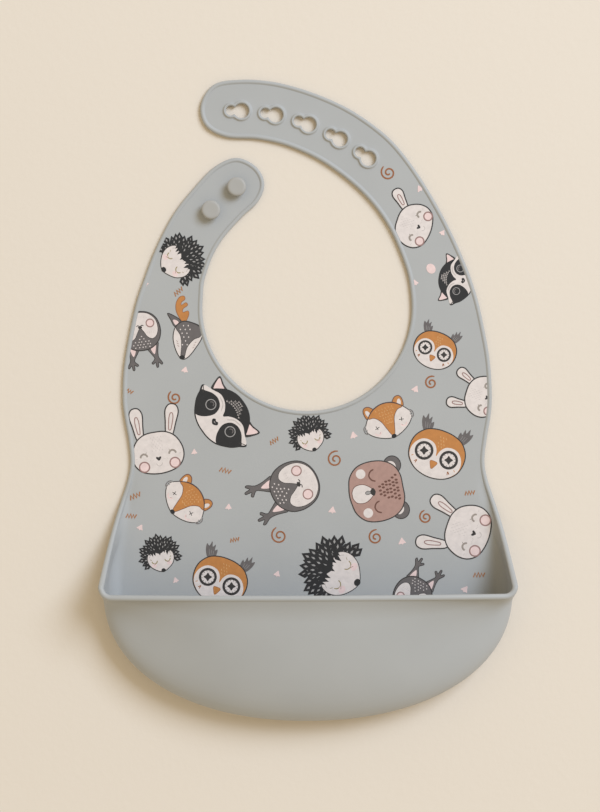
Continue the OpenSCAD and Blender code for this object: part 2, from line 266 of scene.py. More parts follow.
# Near the waist the side is one easy slope; towards the mouth it turns upright over the widest contour
slope = bezier(foot, -foot_way3, wall_out, end_way, LOW + HIGH, pull=0.4)
stood_low = bezier(foot, -foot_way3, belly, climb, LOW)
stood_high = bezier(belly, climb, wall_out, end_way, HIGH)
stood = np.concatenate([stood_low, stood_high[:, 1:]], axis=1)
outer = mix(slope, stood, upright)
along = np.roll(outer, -1, 0) - np.roll(outer, 1, 0)
across = np.gradient(outer, axis=1)
skin_n = unit(np.cross(along, across))
skin_n[:, 0] = UP
skin_n[:, -1] = end_face
for _ in range(2):
    skin_n[:, 1:-1] = unit(skin_n[:, 1:-1] * 2 + skin_n[:, :-2] + skin_n[:, 2:])
inner = outer + skin_n * SHEET

start = np.arcsin(np.clip((SHEET / 2 - proud) / bead, -1, 1))
end = np.arcsin(np.clip((SHEET / 2 + proud) / bead, -1, 1))
angles = np.linspace(np.pi - start - ARC_LAP, -(np.pi - end) + ARC_LAP, ARC + 1).T
ring = (
    bead_c[:, None, :]
    + (bead[:, None] * np.cos(angles))[..., None] * end_way[:, None, :]
    + (bead[:, None] * np.sin(angles))[..., None] * end_face[:, None, :]
)
flat_in = foot + foot_way3 * FLAT_BAND
profile = np.concatenate(
    [(flat_in + UP * SHEET)[:, None], inner, ring, outer[:, ::-1], flat_in[:, None]], axis=1
)
profile[:, :, 2] = np.maximum(profile[:, :, 2], 0)
COLS = profile.shape[1]


# ---- keyholes ----

KEY_C = np.array([-37.6, 35.2])
KEY_R = 109.0
KEY_FIRST = math.radians(88.64)
KEY_STEP = KEYHOLE_PITCH / KEY_R
LOBE_WIDE, LOBE_NARROW, LOBE_GAP = 3.7, 2.45, 5.4
KEY_PROFILE = [
    (2.2, 1.8), (1.6, 1.84), (1.36, 2.0), (1.24, 2.3), (1.0, 2.56), (0.7, 2.66), (0.38, 2.58),
    (0.12, 2.36), (0.0, 2.0), (0.0, 0.5), (0.15, 0.15), (0.5, 0.0), (2.3, 0.0),
]
KEY_N = 64


def keyhole_ring(grow):
    """Outline of a keyhole grown by a distance, as a smooth union of its two round lobes."""
    out = []
    for k in range(KEY_N):
        across_lobe = math.cos(2 * math.pi * k / KEY_N)
        far = 0.0
        for cx, r in ((LOBE_GAP / 2, LOBE_WIDE + grow), (-LOBE_GAP / 2, LOBE_NARROW + grow)):
            b = across_lobe * cx
            disc = b * b - cx * cx + r * r
            if disc > 0:
                far = max(far, b + math.sqrt(disc))
        out.append(far)
    out = np.array(out)
    for _ in range(3):
        out = 0.5 * out + 0.25 * (np.roll(out, 1) + np.roll(out, -1))
    a = 2 * np.pi * np.arange(KEY_N) / KEY_N
    return np.stack([out * np.cos(a), out * np.sin(a)], 1)


def on_key_circle(a):
    """The point at an angle on the circle that the keyholes lie on."""
    return KEY_C + KEY_R * np.array([math.cos(a), math.sin(a)])


def keyhole_points(i):
    """Rings of points over one keyhole's rounded collar, from the front round to the back."""
    place = KEY_FIRST - KEY_STEP * i
    a = place - math.pi / 2
    rot = np.array([[math.cos(a), -math.sin(a)], [math.sin(a), math.cos(a)]])
    return np.array([lifted(keyhole_ring(g) @ rot.T + on_key_circle(place), z) for g, z in KEY_PROFILE])


keyholes = [keyhole_points(i) for i in range(5)]


# ---- flat fill ----


def crossed(x, y, x1, y1, x2, y2):
    """Which segments a line from the point towards +X crosses."""
    with np.errstate(divide="ignore", invalid="ignore"):
        return ((y1 > y) != (y2 > y)) & (x < (x2 - x1) * (y - y1) / (y2 - y1) + x1)


def against(points, loop):
    """The points' coordinates as columns, and both ends of the loop's segments as rows."""
    x, y = points.T[:, :, None]
    return x, y, *loop.T[:, None], *np.roll(loop, -1, 0).T[:, None]


def inside(points, loop):
    """Which points lie inside a closed plan loop."""
    return crossed(*against(points, loop)).sum(1) % 2 == 1


def loop_edges(first, n):
    """Edges of a closed loop of n points, numbered from first."""
    return [(first + k, first + (k + 1) % n) for k in range(n)]


def away(points, loop, gap):
    """Which points are farther than gap from every point of the loop."""
    keep = np.ones(len(points), bool)
    for s in range(0, len(points), 500):
        d = points[s : s + 500, None, :] - loop[None]
        keep[s : s + 500] = (d**2).sum(2).min(1) > gap * gap
    return keep


FILL_X, FILL_Y = 100, 160
FOOT_CLEAR, HOLE_CLEAR = 1.3, 1.2
foot_loop = flat_in[:, :2]
hole_loops = [k[0][:, :2] for k in keyholes]
gx, gy = np.meshgrid(np.arange(-FILL_X, FILL_X + 1, FILL_STEP), np.arange(-FILL_Y, FILL_Y + 1, FILL_STEP))
gx = gx + (np.arange(gx.shape[0]) % 2 * FILL_STEP / 2)[:, None]
grid = np.stack([gx.ravel(), gy.ravel()], 1)
grid = grid[inside(grid, foot_loop) & away(grid, foot_loop, FOOT_CLEAR)]
for h in hole_loops:
    grid = grid[~inside(grid, h) & away(grid, h, HOLE_CLEAR)]
flat_points = np.concatenate([foot_loop] + hole_loops + [grid])
edges = loop_edges(0, n_all)
for k in range(len(keyholes)):
    edges += loop_edges(n_all + k * KEY_N, KEY_N)
made = delaunay_2d_cdt([Vector(p) for p in flat_points], edges, [], 0, 1e-5, True)
tri = np.array(made[2])
mid_tri = np.array([tuple(v) for v in made[0]])[tri].mean(1)
# The input point that each made vertex comes from
source = [origin[0] if origin else -1 for origin in made[3]]
keep = inside(mid_tri, foot_loop)
for h in hole_loops:
    keep &= ~inside(mid_tri, h)
tri = tri[keep]


# ---- the whole skin ----


verts = [profile.reshape(-1, 3)]
base = n_all * COLS
key_base = []
for k in keyholes:
    key_base.append(base)
    verts.append(k.reshape(-1, 3))
    base += k.shape[0] * KEY_N
n_grid = len(grid)
verts = np.concatenate(verts + [lifted(grid, SHEET), lifted(grid)])


def flat_index(i, low):
    """Skin vertex for one of the flat fill's input points, on the front or on the back."""
    if i < n_all:
        return i * COLS + (COLS - 1 if low else 0)
    i -= n_all
    if i < 5 * KEY_N:
        k, j = divmod(i, KEY_N)
        return key_base[k] + (len(KEY_PROFILE) - 1) * KEY_N * low + j
    return base + n_grid * low + (i - 5 * KEY_N)


faces = []
for i in range(n_all):
    j = (i + 1) % n_all
    for k in range(COLS - 1):
        faces.append((i * COLS + k, i * COLS + k + 1, j * COLS + k + 1, j * COLS + k))
for kb in key_base:
    for r in range(len(KEY_PROFILE) - 1):
        for j in range(KEY_N):
            a, b = kb + r * KEY_N + j, kb + r * KEY_N + (j + 1) % KEY_N
            faces.append((a, b, b + KEY_N, a + KEY_N))
for f in tri:
    ids = [source[v] for v in f]
    if min(ids) < 0:
        continue
    faces.append(tuple(flat_index(i, 0) for i in ids))
    faces.append(tuple(flat_index(i, 1) for i in reversed(ids)))


def as_mesh(bm, name):
    """A mesh of the shape, with its faces turned outwards."""
    bmesh.ops.recalc_face_normals(bm, faces=bm.faces)
    mesh = bpy.data.meshes.new(name)
    bm.to_mesh(mesh)
    bm.free()
    return mesh


bm = bmesh.new()
skin_verts = [bm.verts.new(tuple(v * MM)) for v in verts]
for f in faces:
    bm.faces.new([skin_verts[i] for i in f])
for f in bm.faces:
    f.smooth = True
whole = as_mesh(bm, "whole")


# ---- materials ----


def new_material(name):
    m = bpy.data.materials.new(name)
    m.use_nodes = True
    return m, m.node_tree.nodes["Principled BSDF"]


def settle(node, **values):
    """Sets a node's inputs, whose names are written with _ for a space."""
    for name, value in values.items():
        node.inputs[name.replace("_", " ")].default_value = value


def noise(tree, scale, detail):
    """A noise in the object's own space."""
    coord = tree.nodes.new("ShaderNodeTexCoord")
    texture = tree.nodes.new("ShaderNodeTexNoise")
    settle(texture, Scale=scale, Detail=detail)
    tree.links.new(coord.outputs["Object"], texture.inputs["Vector"])
    return texture.outputs["Fac"]


def cloudy(tree, bsdf, colour, scale, detail, tones):
    """Colours a material unevenly, from a darker to a lighter tone of one colour."""
    ramp = tree.nodes.new("ShaderNodeValToRGB")
    for element, place, tone in zip(ramp.color_ramp.elements, (0.3, 0.7), tones):
        element.position = place
        element.color = (*[min(1, c * tone) for c in colour], 1)
    tree.links.new(noise(tree, scale, detail), ramp.inputs["Fac"])
    tree.links.new(ramp.outputs["Color"], bsdf.inputs["Base Color"])


def grainy(tree, bsdf, scale, detail, strength, depth):
    """Gives a material a fine raised grain."""
    bump = tree.nodes.new("ShaderNodeBump")
    settle(bump, Strength=strength, Distance=depth)
    tree.links.new(noise(tree, scale, detail), bump.inputs["Height"])
    tree.links.new(bump.outputs["Normal"], bsdf.inputs["Normal"])


def silicone(name, colour, rough=0.52):
    """Matt moulded silicone: faint cloudy tone, fine dusty grain and a soft sheen."""
    m, bsdf = new_material(name)
    cloudy(m.node_tree, bsdf, colour, 28, 3, (0.975, 1.02))
    grainy(m.node_tree, bsdf, 2200, 2, 0.06, 0.0002)
    settle(bsdf, Roughness=rough, IOR=1.41, Specular_IOR_Level=0.42, Sheen_Weight=0.08, Sheen_Roughness=0.5)
    return m


SKIN_MAT = silicone("silicone_grey", (0.44, 0.441, 0.428))
STUD_MAT = silicone("silicone_stud", (0.41, 0.395, 0.365), 0.48)


# ---- the skin's pieces ----


def close(bm, rim_edges, normal):
    """Fills the flat end that a cut leaves, with a crisp edge round it."""
    ids = {}
    for e in rim_edges:
        e.smooth = False
        for v in e.verts:
            ids.setdefault(v, len(ids))
    corners = list(ids)
    side = Vector((-normal.y, normal.x, 0))
    flat = np.array([(v.co.dot(side), v.co.z) for v in corners]) / MM
    pairs = [tuple(ids[v] for v in e.verts) for e in rim_edges]
    out, _, made, origin = delaunay_2d_cdt([Vector(p) for p in flat], pairs, [], 0, 1e-6, True)[:4]
    out = np.array([tuple(v) for v in out])
    seg = flat[np.array(pairs)]
    for f in made:
        hit = crossed(*out[list(f)].mean(0), *seg[:, 0].T, *seg[:, 1].T)
        who = [origin[v] for v in f]
        if hit.sum() % 2 and all(who):
            three = [corners[w[0]] for w in who]
            if len(set(three)) == 3:
                bm.faces.new(three).smooth = False


def cut(source_mesh, planes, pick=None):
    """A closed part of the skin, on the side of each plane that its normal points to."""
    bm = bmesh.new()
    bm.from_mesh(source_mesh)
    for point, normal in planes:
        n = Vector((*normal, 0.0))
        p = Vector((point[0] * MM, point[1] * MM, 0))
        geom = bm.verts[:] + bm.edges[:] + bm.faces[:]
        made = bmesh.ops.bisect_plane(bm, geom=geom, dist=1e-7, plane_co=p, plane_no=n, clear_inner=True)
        rim_edges = [e for e in made["geom_cut"] if isinstance(e, bmesh.types.BMEdge)]
        rim_edges = [e for e in rim_edges if e.is_valid and len(e.link_faces) == 1]
        close(bm, rim_edges, n)
    if pick is not None:
        todo = set(bm.verts)
        while todo:
            seed = todo.pop()
            island, stack = {seed}, [seed]
            while stack:
                for e in stack.pop().link_edges:
                    for v in e.verts:
                        if v in todo:
                            todo.discard(v)
                            island.add(v)
                            stack.append(v)
            if not any(pick(v.co) for v in island):
                bmesh.ops.delete(bm, geom=list(island), context="VERTS")
    return as_mesh(bm, "part")


def show(name, data):
    """A new object in the scene."""
    o = bpy.data.objects.new(name, data)
    bpy.context.scene.collection.objects.link(o)
    return o


def add(name, mesh, material=None):
    """A piece in the scene; a mesh that has its inks already needs no material."""
    mesh.name = name
    if material:
        mesh.materials.append(material)
    return show(name, mesh)


def bend(o, a, b, flex, way, before, after):
    """Bakes a piece's place into its mesh; the piece is not bent, and its two bodies, flex line, way across
    and reach each way are not used.
    """
    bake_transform(o)


POCKET_CUT = (0, -56)
CHEST_CUT = (0, 8)
STRAP_CUT = (0, 62)
hole_turn = math.radians(43)
HOLE_CUT = tuple(on_key_circle(hole_turn))
HOLE_WAY = (-math.sin(hole_turn), math.cos(hole_turn))
# The tip flexes between its third and fourth keyholes
tip_turn = KEY_FIRST - 2.53 * KEY_STEP
TIP_FLEX = tuple(on_key_circle(tip_turn))
TIP_WAY = (-math.sin(tip_turn), math.cos(tip_turn))

# Each strip that bends: its two bodies, a point of its flex line, the way across, and its reach each way
BENDS = {
    "waist": ("apron", "chest", (0, -26), (0, 1), 6, 22),
    "stud_strap": ("chest", "stud_strap", (-71, 38), (0, 1), 6, 19),
    "stud_end": ("stud_strap", "stud_end", (-57.5, 82), (0.5, 0.866), 9, 9),
    "hole_strap": ("chest", "hole_strap", (71, 38), (0, 1), 6, 19),
    "hole_middle": ("hole_strap", "hole_middle", (53.5, 90), (-0.5, 0.866), 6, 19),
    "hole_end": ("hole_middle", "hole_end", TIP_FLEX, TIP_WAY, 9, 9),
}
# The skin's pieces: what each follows, the planes that bound it, and which island of it to keep
UPPER, LOWER = (0, 1), (0, -1)
PARTS = [
    ("skin_pocket", "pocket", [(POCKET_CUT, LOWER)], None),
    ("skin_lower_chest", "waist", [(POCKET_CUT, UPPER), (CHEST_CUT, LOWER)], None),
    ("skin_stud_strap", "stud_strap", [(CHEST_CUT, UPPER), (STRAP_CUT, LOWER)], lambda c: c.x < -0.06),
    ("skin_hole_strap", "hole_strap", [(CHEST_CUT, UPPER), (STRAP_CUT, LOWER)], lambda c: c.x > 0.06),
    ("skin_stud_end", "stud_end", [(STRAP_CUT, UPPER)], lambda c: c.x < -0.06 and c.y < 0.07),
    (
        "skin_hole_middle", "hole_middle",
        [(STRAP_CUT, UPPER), (HOLE_CUT, (-HOLE_WAY[0], -HOLE_WAY[1]))], lambda c: c.x > 0.065,
    ),
    ("skin_hole_end", "hole_end", [(STRAP_CUT, UPPER), (HOLE_CUT, HOLE_WAY)], lambda c: c.y > 0.14),
]
# The CAD nodes that each piece of skin replaces
STANDS_FOR = {
    "skin_pocket": [
        "lower_panel", "pocket_floor", "pocket_side_left", "pocket_side_right",
        "side_rim_left", "side_rim_right", "pocket_front", "pocket_lip",
    ],
    "skin_lower_chest": ["chest_panel", "chest_rim_left", "chest_rim_right", "neck_rim"],
    "skin_stud_strap": ["stud_strap_root", "stud_root_rim_outer", "stud_root_rim_inner"],
    "skin_hole_strap": ["hole_strap_root", "hole_root_rim_outer", "hole_root_rim_inner"],
    "skin_stud_end": ["stud_strap_tip", "stud_tip_rim"],
    "skin_hole_middle": [
        "hole_strap_mid", "hole_mid_rim_outer", "hole_mid_rim_inner",
        *(f"keyhole_collar_{k}" for k in (4, 5)),
    ],
    "skin_hole_end": ["hole_strap_tip", "hole_tip_rim", *(f"keyhole_collar_{k}" for k in (1, 2, 3))],
}


def follow(o, where):
    """Attaches a piece to the body that it lies on; a piece of the pocket or of a flex line is only baked in
    place.
    """
    if where == "pocket":
        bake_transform(o)
    elif where in BENDS:
        bend(o, *BENDS[where])
    else:
        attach(o, where)


for name, where, planes, pick in PARTS:
    part = add(name, cut(whole, planes, pick), SKIN_MAT)
    follow(part, where)
    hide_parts(*STANDS_FOR[name])


# ---- studs ----

STUD_PROFILE = [
    (0.0, -0.12), (3.95, -0.12), (4.2, 0.1), (4.2, 0.62), (4.0, 0.8), (2.35, 0.82), (2.15, 1.0),
    (2.15, 4.4), (2.3, 4.75), (2.7, 4.85), (4.1, 4.85), (4.5, 4.98), (4.7, 5.3), (4.7, 6.1),
    (4.58, 6.5), (4.25, 6.82), (3.7, 6.98), (3.2, 7.0), (2.0, 6.97), (0.0, 6.93),
]


def lathe(profile, centre, sides=56):
    """A turned solid, closed by a point where its radius is zero."""
    bm = bmesh.new()
    rows = []
    for r, z in profile:
        row = [centre + r * heading(360 * k / sides) for k in range(sides if r else 1)]
        rows.append([bm.verts.new((x * MM, y * MM, z * MM)) for x, y in row])
    for a, b in zip(rows, rows[1:]):
        for k in range(sides):
            j = (k + 1) % sides
            if len(a) == 1:
                bm.faces.new((a[0], b[j], b[k]))
            elif len(b) == 1:
                bm.faces.new((a[k], a[j], b[0]))
            else:
                bm.faces.new((a[k], a[j], b[j], b[k]))
    for f in bm.faces:
        f.smooth = True
    return as_mesh(bm, "lathe")


# Midway between the two studs
STUD_MIDDLE = np.array([-41.1, 100.1])
stud_way = heading(41.8)
for name, side in (("upper_stud", 1), ("lower_stud", -1)):
    place = STUD_MIDDLE + stud_way * side * KEYHOLE_PITCH / 2
    stud = add("moulded_" + name, lathe(STUD_PROFILE, place), STUD_MAT)
    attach(stud, "stud_end")
    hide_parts(name)


# ---- printed figures ----

# The ink's film stands a little over the skin, reaches a little into it, and stops short of the edge
INK_LIFT = 0.1
INK_SUNK = 0.12
CREASE = 2.3
GRID_STEP = 2.0
GRID_MARGIN = 4


def ink(name, colour):
    """Matt printed ink, a little uneven in tone."""
    m, bsdf = new_material(name)
    cloudy(m.node_tree, bsdf, colour, 420, 4, (0.93, 1.05))
    settle(bsdf, Roughness=0.55, Specular_IOR_Level=0.3)
    return m


INK_COLOURS = {
    "cream": (0.76, 0.68, 0.635),
    "shade": (0.55, 0.49, 0.455),
    "umbra": (0.34, 0.29, 0.25),
    "line": (0.045, 0.04, 0.037),
    "black": (0.027, 0.026, 0.026),
    "grey": (0.15, 0.133, 0.128),
    "silver": (0.36, 0.34, 0.325),
    "ochre": (0.54, 0.225, 0.065),
    "straw": (0.72, 0.44, 0.2),
    "rust": (0.33, 0.125, 0.05),
    "clay": (0.41, 0.175, 0.07),
    "blush": (0.83, 0.635, 0.6),
    "rose": (0.33, 0.2, 0.18),
    "cocoa": (0.44, 0.27, 0.225),
    "umber": (0.16, 0.075, 0.055),
    "olive": (0.33, 0.26, 0.12),
}
INKS = {name: ink("ink_" + name, colour) for name, colour in INK_COLOURS.items()}


def closed_curve(points, steps=5):
    """Smooth closed curve through the points, counter-clockwise."""
    p = [tuple(v) for v in points]
    out = catmull([p[-1]] + p + [p[0], p[1]], steps)[:-1]
    x, y = out.T
    return out if np.sum(x * np.roll(y, -1) - np.roll(x, -1) * y) > 0 else out[::-1]


def oval(x, y, rx, ry=None, turn=0.0, count=24):
    a = np.linspace(0, 2 * np.pi, count, endpoint=False)
    c, s = heading(turn)
    u, v = rx * np.cos(a), (ry or rx) * np.sin(a)
    return np.stack([x + c * u - s * v, y + s * u + c * v], 1)


def ribbon(points, width, smoothed=True):
    """Outline of a brush stroke along the points, a little thinner at its ends."""
    p = np.array(points, float)
    if smoothed and len(p) > 2:
        p = catmull([2 * p[0] - p[1]] + list(p) + [2 * p[-1] - p[-2]], 4)
    w = np.full(len(p), width / 2)
    w[0] = w[-1] = width / 3.2
    n = normals_right(p) * w[:, None]
    return np.concatenate([p + n, (p - n)[::-1]])


def grow(p, d):
    """A counter-clockwise outline moved outwards by a distance."""
    return p + normals_right(p, closed=True) * d


def wound(points, loop):
    """Which points a closed outline winds round, also where it crosses itself."""
    x, y, x1, y1, x2, y2 = against(points, loop)
    left = (x2 - x1) * (y - y1) - (x - x1) * (y2 - y1)
    ups = ((y1 <= y) & (y2 > y) & (left > 0)).sum(1)
    downs = ((y1 > y) & (y2 <= y) & (left < 0)).sum(1)
    return ups != downs


def mirrored(points):
    """A closed outline from its right half, listed from top to bottom."""
    return list(points) + [(-x, y) for x, y in reversed(points) if x]


def even_curve(points):
    """A smooth closed outline from its right half."""
    return closed_curve(mirrored(points))


def side_curve(s, points, steps=5):
    """A smooth closed outline on the right (1) or on the left (-1)."""
    return closed_curve([(s * x, y) for x, y in points], steps)


def lid(x, y, r, down=True):
    """Points of a closed eye's curved lid."""
    s = -1 if down else 1
    return [(x + u * r, y + s * v * r) for u, v in ((-1, 0), (-0.7, 0.62), (0, 0.95), (0.7, 0.62), (1, 0))]


class Figure:
    """Layers of ink about a figure's own middle, in millimetres; later layers cover earlier ones."""

    def __init__(self, at, turn, size):
        c, s = heading(turn)
        self.at = np.array(at, float)
        self.axes = np.array([[c, s], [-s, c]]) * size
        self.layers = []

    def placed(self, points):
        """The figure's own points, turned, sized and moved to their place on the bib."""
        return np.array(points, float) @ self.axes + self.at

    def fill(self, colour, points):
        self.layers.append((colour, self.placed(points)))

    def edged(self, colour, points, width=0.62, edge="line"):
        """A filled outline with an inked edge of the same width at every size."""
        p = self.placed(points)
        self.layers.append((edge, grow(p, width / 2)))
        self.layers.append((colour, grow(p, -width / 2)))

    def stroke(self, colour, points, width=0.45, smoothed=True):
        self.layers.append((colour, ribbon(self.placed(points), width, smoothed)))

    def dash(self, colour, x1, y1, x2, y2, width):
        self.stroke(colour, [(x1, y1), (x2, y2)], width, False)


whole_tree = BVHTree.FromPolygons([tuple(v * MM) for v in verts], faces)
crease_loop = rim_loop + inward * (CREASE - bead)[:, None]
# Prints fall onto the skin from above it, and near the pocket's mouth from below its lip
DROP = 60.0
LOW_DROP = 10.5
MOUTH_Y, MOUTH_HALF = -86, 92


def on_skin(x, y):
    """The point of the front surface at a plan position, and its normal."""
    low = (y < MOUTH_Y and abs(x) < MOUTH_HALF) or y < LIP_Y + 3
    start = Vector((x * MM, y * MM, (LOW_DROP if low else DROP) * MM))
    hit, normal, _, _ = whole_tree.ray_cast(start, Vector((0, 0, -1)))
    if hit is None:
        return Vector((x * MM, y * MM, SHEET * MM)), Vector((0, 0, 1))
    return hit, normal if normal.z > 0 else -normal


def lay(name, figure, where):
    """Makes one printed figure: flat layers cut to their topmost ink, laid on the skin as a thin film."""
    pts, edges_in = [], []
    for _, p in figure.layers:
        edges_in += loop_edges(len(pts), len(p))
        pts += list(p)
    lo, hi = np.min(pts, 0) - GRID_MARGIN, np.max(pts, 0) + GRID_MARGIN
    near = ((crease_loop > lo) & (crease_loop < hi)).all(1) & (crease_loop[:, 1] > LIP_Y + 4)
    for k in np.flatnonzero(near & np.roll(near, -1)):
        edges_in.append((len(pts), len(pts) + 1))
        pts += [crease_loop[k], crease_loop[(k + 1) % n_all]]
    gx, gy = np.meshgrid(np.arange(lo[0], hi[0], GRID_STEP), np.arange(lo[1], hi[1], GRID_STEP))
    pts += list(np.stack([gx.ravel(), gy.ravel()], 1))
    out, _, made = delaunay_2d_cdt([Vector(p) for p in pts], edges_in, [], 0, 2e-3, False)[:3]
    out, made = np.array([tuple(v) for v in out]), np.array(made)
    mid = out[made].mean(1)
    top = np.full(len(made), -1)
    for k, (_, p) in enumerate(figure.layers):
        # Only the triangles in the layer's own box can lie in it
        ids = np.flatnonzero(((mid >= p.min(0)) & (mid <= p.max(0))).all(1))
        top[ids[wound(mid[ids], p)]] = k
    kept = (top >= 0) & (inside(mid, crease_loop) | (mid[:, 1] < LIP_Y + 6))
    made, top = made[kept], top[kept]
    used, made = np.unique(made, return_inverse=True)
    made = made.reshape(-1, 3)
    colours = sorted({figure.layers[k][0] for k in top})
    surface = [on_skin(*out[i]) for i in used]
    front = [tuple(p + n * INK_LIFT * MM) for p, n in surface]
    rear = [tuple(p - n * INK_SUNK * MM) for p, n in surface]
    count = len(front)
    all_faces = [tuple(f) for f in made] + [(f[2] + count, f[1] + count, f[0] + count) for f in made]
    slots = [colours.index(figure.layers[k][0]) for k in top] * 2
    seen = {}
    for f, s in zip(made, slots):
        for a, b in ((f[0], f[1]), (f[1], f[2]), (f[2], f[0])):
            seen[(a, b)] = s
    for (a, b), s in seen.items():
        if (b, a) not in seen:
            all_faces.append((b, a, a + count, b + count))
            slots.append(s)
    mesh = bpy.data.meshes.new(name)
    mesh.from_pydata(front + rear, [], all_faces)
    for c in colours:
        mesh.materials.append(INKS[c])
    mesh.polygons.foreach_set("material_index", slots)
    mesh.polygons.foreach_set("use_smooth", [k < len(made) for k in range(len(all_faces))])
    rim_keys = {tuple(sorted(k)) for k in seen if k[::-1] not in seen}
    rim_keys |= {(a + count, b + count) for a, b in rim_keys}
    sharp = mesh.attributes.new("sharp_edge", "BOOLEAN", "EDGE")
    sharp.data.foreach_set("value", [tuple(sorted(e.vertices)) in rim_keys for e in mesh.edges])
    follow(add(name, mesh), where)


def long_ear(x, lean, w, low, high):
    """Outline of an ear that leans, from one distance along it to another."""
    across = heading(-lean)
    along = np.array([-across[1], across[0]])
    half = [(low, 0.45), (0.45 * high, 0.8), (0.8 * high, 1), (high, 0.5)]
    rows = [(low, -0.45)] + half + [(t, -u) for t, u in half[:0:-1]]
    return closed_curve([(x, 7.6) + along * t + across * (w * u) for t, u in rows])


def rabbit(f, ears=((-7.7, -2), (6.9, 15)), length=15.6):
    for x, lean in ears:
        f.edged("cream", long_ear(x, lean, 3.3, 0, length))
        f.edged("cream", long_ear(x, lean, 1.0, 3.0, 0.72 * length), 0.5, "rose")
    f.edged("cream", even_curve(
        [(0, 10.4), (5.5, 9.8), (10, 6.8), (12.7, 1), (12.2, -4.6), (8.2, -8.8), (0, -10.4)]
    ))
    for k in range(7):
        y = 8.2 - k * 1.1
        for j in range(4 - k % 2):
            x = -2.6 + 1.7 * j + 0.8 * (k % 2)
            f.dash("shade", x, y, x + 0.25, y - 0.8, 0.26)
    for s in (-1, 1):
        f.stroke("umbra", lid(s * 7.2, -1.4, 1.8, False), 0.95)
        f.dash("umbra", s * 6.2, 0.3, s * 5.6, 1, 0.5)
        f.dash("shade", s * 11.4, -1.6, s * 10.4, -1.9, 0.35)
        f.edged("blush", oval(s * 7.7, -6.1, 2.5), 0.7, "rose")
        for k in range(4):
            x, y = 2.4 + 0.8 * k, -3.0 - 0.5 * (k % 2)
            f.dash("shade", s * x, y, s * (x + 0.4), -3.6, 0.3)
    f.fill("line", closed_curve([(0, -4.0), (1.3, -2.6), (0.9, -1.9), (0, -2.3), (-0.9, -1.9), (-1.3, -2.6)]))
    f.stroke("shade", lid(0, -5.2, 1.5), 0.35)


def hedgehog(f):
    first, last = -22, 208
    backing = [9.2 * heading(a) + (0, 0.8) for a in np.linspace(first, last, 24)]
    f.fill("black", closed_curve(backing, 2))
    rows = ((13.1, 20, 1.6), (10.9, 19, 1.5), (9.0, 17, 1.4), (7.2, 13, 1.2))
    for row, (r, count, w) in enumerate(rows):
        for k in range(count):
            t = (k + 0.5 * (row % 2)) / (count - 1)
            d = heading(mix(first, last, t) + 3 * math.sin(5 * k + row))
            reach = r + 0.8 * math.sin(2.3 * k + 1.7 * row)
            tip, root = d * reach + (0, 0.8), d * (reach - 5.2) + (0, 0.8)
            wide, half = mix(root, tip, 0.52), np.array([-d[1], d[0]]) * w
            f.fill("black", [root, wide - half, tip, wide + half])
            half = half * 0.26
            f.fill("silver", [mix(root, tip, 0.38), wide - half, mix(root, tip, 0.72), wide + half])
    f.edged("cream", closed_curve(
        [(0, -9), (3.2, -7.8), (6.7, -5), (8.2, -1.2), (7.4, 2.2), (5, 3.7), (2.2, 3.1), (0, 2.2),
         (-2.2, 3.2), (-5, 3.9), (-7.5, 2.1), (-8.2, -1.4), (-6.7, -5), (-3.4, -7.8)]
    ), 0.4)
    for k in range(9):
        x, low = 1.45 * (k - 4), 2.6 + 0.9 * math.sin(2.4 * k + 1) - 0.05 * (k - 4) ** 2
        sides = [(1.1 * x + 0.95, low + 1.4), (1.3 * x, low + 4), (1.1 * x - 0.95, low + 1.4)]
        f.fill("black", [(x, low - 0.9)] + sides)
    for s in (-1, 1):
        f.stroke("olive", lid(s * 4, -1.8, 1.7), 0.5)
        f.dash("olive", s * 5.7, -1.2, s * 6.4, -0.4, 0.4)
        f.dash("shade", s * 6.0, 1.9, s * 6.8, 0.7, 0.6)
        f.fill("blush", oval(s * 4.7, -4.5, 1.5, 1.2))
        f.dash("rose", s * 3.8, -3.6, s * 4.8, -4.1, 0.4)
    f.fill("black", oval(0.2, -8.2, 1.35, 1.15))


def fox(f):
    for s in (-1, 1):
        ear = [(4.6, 4), (6.6, 7.4), (9.2, 7.7), (10.3, 5.4), (9.2, 1.8)]
        f.edged("ochre", side_curve(s, ear), 0.42, "umber")
        f.fill("cream", side_curve(s, [(7.2, 4.2), (8, 5.9), (9.1, 6.1), (9.3, 4.4), (8.4, 3)]))
    f.edged("cream", even_curve(
        [(0, 6.8), (5.4, 5.5), (9.4, 2), (12, -2), (11.5, -4.8), (8.6, -7.8), (4.2, -10.1), (0, -11)]
    ), 0.42)
    f.edged("ochre", even_curve(
        [(0, 6.6), (5.2, 5.3), (9, 2.1), (6.2, 1.4), (3.6, -1.4), (2.2, -5.4), (1, -9), (0, -10)]
    ), 0.3, "umber")
    for row in range(6):
        y = 4.2 - 1.5 * row
        half = 4.4 - 0.62 * row
        for k in range(6 - row // 2):
            x = mix(-half, half, (k + 0.5 * (row % 2)) / max(1, 5 - row // 2)) * 0.95
            lean = 0.35 * math.sin(3.1 * k + 2.2 * row)
            f.dash("straw", x - lean, y - 0.35, x + lean, y + 0.35, 0.3)
    for s in (-1, 1):
        whiskers = [(11.4, -0.9), (12.7, -2.2), (11.5, -3), (12.6, -4.4), (11.2, -5)]
        f.stroke("silver", [(s * x, y) for x, y in whiskers], 0.55)
        f.stroke("grey", [(s * 11.9, -0.7), (s * 13, -2.1), (s * 12.8, -4.2), (s * 11.6, -5.1)], 0.35)
        f.dash("line", s * 5.2, -3.6, s * 7.6, -4.2, 0.55)
        f.dash("line", s * 6.8, -2.7, s * 6.3, -4.8, 0.55)
        f.stroke("blush", lid(s * 6.8, -6.0, 1.5), 0.7)
        f.dash("rose", s * 5.6, -6.3, s * 6.3, -6.9, 0.3)
    f.fill("black", oval(0, -10.4, 1.3, 1.05))


